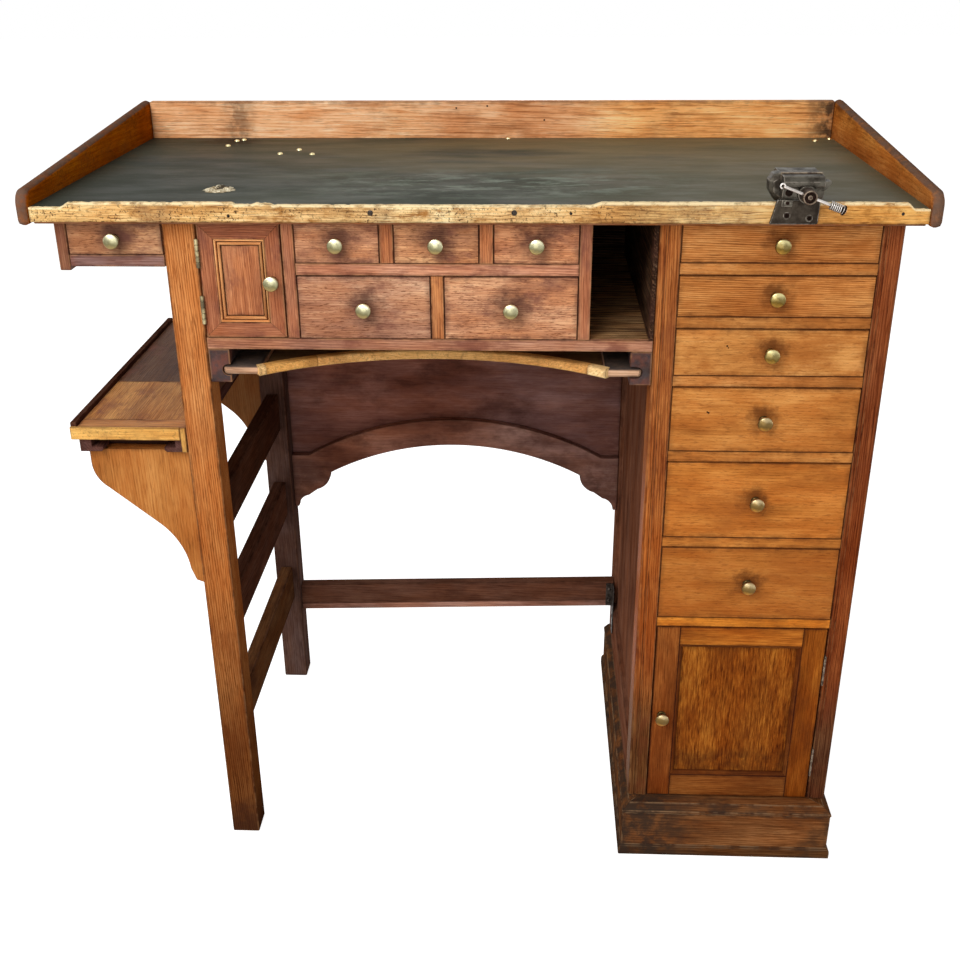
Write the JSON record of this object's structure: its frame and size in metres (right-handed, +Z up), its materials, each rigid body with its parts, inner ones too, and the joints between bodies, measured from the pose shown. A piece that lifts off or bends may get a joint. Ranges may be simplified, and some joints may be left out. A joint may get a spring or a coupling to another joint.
{
  "type": "watchmaker's bench",
  "caption": "Wooden watchmaker's bench with a lipped, galleried top, a drawer pedestal, a case of small drawers, a sliding apron tray, a side shelf and an iron vise.",
  "frame": {"origin": "on the floor under the middle of the bench's box", "axes": "+X to the sitter's right, +Y towards the back gallery, +Z up"},
  "size_m": [1.088, 0.56, 1.015],
  "materials": {
    "orange_oak": "satin, worn",
    "golden_pine": "satin, nicked",
    "dark_oak": "satin, dark stained",
    "red_brown_wood": "satin, worn edges",
    "honey_drawer_wood": "satin",
    "pink_brown_drawer_wood": "satin, stained",
    "pale_bare_wood": "bare and dented",
    "linoleum": "satin, scuffed",
    "brass": "satin",
    "steel": "bright",
    "iron": "dark, worn"
  },
  "bodies": {
    "bench": {"bench_top": "golden_pine", "linoleum": "linoleum", "front_lip": "pale_bare_wood", "back_gallery": "golden_pine", "left_gallery_end": "golden_pine", "right_gallery_end": "golden_pine", "vise_body": "iron", "front_leg": "orange_oak", "rear_leg": "orange_oak", "lower_side_rail": "dark_oak", "middle_side_rail": "dark_oak", "upper_side_rail": "dark_oak", "rear_stretcher": "dark_oak", "back_panel": "dark_oak", "arched_rail": "dark_oak", "upper_case": "red_brown_wood", "outer_drawer_case": "red_brown_wood", "side_shelf": "pale_bare_wood", "shelf_front_bracket": "orange_oak", "shelf_rear_bracket": "dark_oak", "pedestal_carcase": "red_brown_wood", "plinth": "dark_oak", "cupboard_hinge_upper": "steel", "cupboard_hinge_lower": "steel", "pedestal_hinge_upper": "steel", "pedestal_hinge_lower": "steel"},
    "small_drawer_left": {"small_drawer_left": "pink_brown_drawer_wood", "small_drawer_left_knob": "brass"},
    "small_drawer_middle": {"small_drawer_middle": "pink_brown_drawer_wood", "small_drawer_middle_knob": "brass"},
    "small_drawer_right": {"small_drawer_right": "pink_brown_drawer_wood", "small_drawer_right_knob": "brass"},
    "large_drawer_left": {"large_drawer_left": "pink_brown_drawer_wood", "large_drawer_left_knob": "brass"},
    "large_drawer_right": {"large_drawer_right": "pink_brown_drawer_wood", "large_drawer_right_knob": "brass"},
    "outer_drawer": {"outer_drawer": "pink_brown_drawer_wood", "outer_drawer_knob": "brass"},
    "pedestal_drawer_1": {"pedestal_drawer_1": "honey_drawer_wood", "pedestal_drawer_1_knob": "brass"},
    "pedestal_drawer_2": {"pedestal_drawer_2": "honey_drawer_wood", "pedestal_drawer_2_knob": "brass"},
    "pedestal_drawer_3": {"pedestal_drawer_3": "honey_drawer_wood", "pedestal_drawer_3_knob": "brass"},
    "pedestal_drawer_4": {"pedestal_drawer_4": "honey_drawer_wood", "pedestal_drawer_4_knob": "brass"},
    "pedestal_drawer_5": {"pedestal_drawer_5": "honey_drawer_wood", "pedestal_drawer_5_knob": "brass"},
    "pedestal_drawer_6": {"pedestal_drawer_6": "honey_drawer_wood", "pedestal_drawer_6_knob": "brass"},
    "apron_tray": {"apron_tray": "pale_bare_wood"},
    "cupboard_door": {"cupboard_door": "orange_oak", "cupboard_door_knob": "brass"},
    "pedestal_door": {"pedestal_door_frame": "orange_oak", "pedestal_door_panel": "orange_oak", "pedestal_door_knob": "brass"},
    "vise_jaw": {"vise_jaw": "iron"},
    "vise_screw": {"vise_screw": "iron"},
    "vise_handle": {"vise_handle": "steel", "vise_handle_spring": "steel"}
  },
  "joints": [
    {"name": "small_drawer_left_slide", "type": "slide", "parent": "bench", "child": "small_drawer_left", "axis": [0, -1, 0], "range_m": [0, 0.26]},
    {"name": "small_drawer_middle_slide", "type": "slide", "parent": "bench", "child": "small_drawer_middle", "axis": [0, -1, 0], "range_m": [0, 0.26]},
    {"name": "small_drawer_right_slide", "type": "slide", "parent": "bench", "child": "small_drawer_right", "axis": [0, -1, 0], "range_m": [0, 0.26]},
    {"name": "large_drawer_left_slide", "type": "slide", "parent": "bench", "child": "large_drawer_left", "axis": [0, -1, 0], "range_m": [0, 0.26]},
    {"name": "large_drawer_right_slide", "type": "slide", "parent": "bench", "child": "large_drawer_right", "axis": [0, -1, 0], "range_m": [0, 0.26]},
    {"name": "outer_drawer_slide", "type": "slide", "parent": "bench", "child": "outer_drawer", "axis": [0, -1, 0], "range_m": [0, 0.26]},
    {"name": "pedestal_drawer_1_slide", "type": "slide", "parent": "bench", "child": "pedestal_drawer_1", "axis": [0, -1, 0], "range_m": [0, 0.26]},
    {"name": "pedestal_drawer_2_slide", "type": "slide", "parent": "bench", "child": "pedestal_drawer_2", "axis": [0, -1, 0], "range_m": [0, 0.26]},
    {"name": "pedestal_drawer_3_slide", "type": "slide", "parent": "bench", "child": "pedestal_drawer_3", "axis": [0, -1, 0], "range_m": [0, 0.26]},
    {"name": "pedestal_drawer_4_slide", "type": "slide", "parent": "bench", "child": "pedestal_drawer_4", "axis": [0, -1, 0], "range_m": [0, 0.26]},
    {"name": "pedestal_drawer_5_slide", "type": "slide", "parent": "bench", "child": "pedestal_drawer_5", "axis": [0, -1, 0], "range_m": [0, 0.26]},
    {"name": "pedestal_drawer_6_slide", "type": "slide", "parent": "bench", "child": "pedestal_drawer_6", "axis": [0, -1, 0], "range_m": [0, 0.26]},
    {"name": "apron_tray_slide", "type": "slide", "parent": "bench", "child": "apron_tray", "axis": [0, -1, 0], "range_m": [0, 0.25]},
    {"name": "cupboard_door_hinge", "type": "hinge", "parent": "bench", "child": "cupboard_door", "pos_m": [-0.3366, -0.2289, 0.86475], "axis": [0, 0, -1], "range_deg": [0, 95]},
    {"name": "pedestal_door_hinge", "type": "hinge", "parent": "bench", "child": "pedestal_door", "pos_m": [0.4834, -0.2289, 0.23365], "axis": [0, 0, 1], "range_deg": [0, 110]},
    {"name": "vise_jaw_slide", "type": "slide", "parent": "bench", "child": "vise_jaw", "axis": [0, -1, 0], "range_m": [0, 0.015]},
    {"name": "vise_screw_turn", "type": "hinge", "parent": "vise_jaw", "child": "vise_screw", "pos_m": [0.3825, -0.27165, 0.9788], "axis": [0, -1, 0], "range_deg": [0, 2160]},
    {"name": "vise_handle_slide", "type": "slide", "parent": "vise_screw", "child": "vise_handle", "axis": [0.9336, 0, -0.3584], "range_m": [-0.016, 0.016]}
  ],
  "couplings": [
    {"joint": "vise_screw_turn", "follows": "vise_jaw_slide", "rad_per_m": 2513.3}
  ]
}
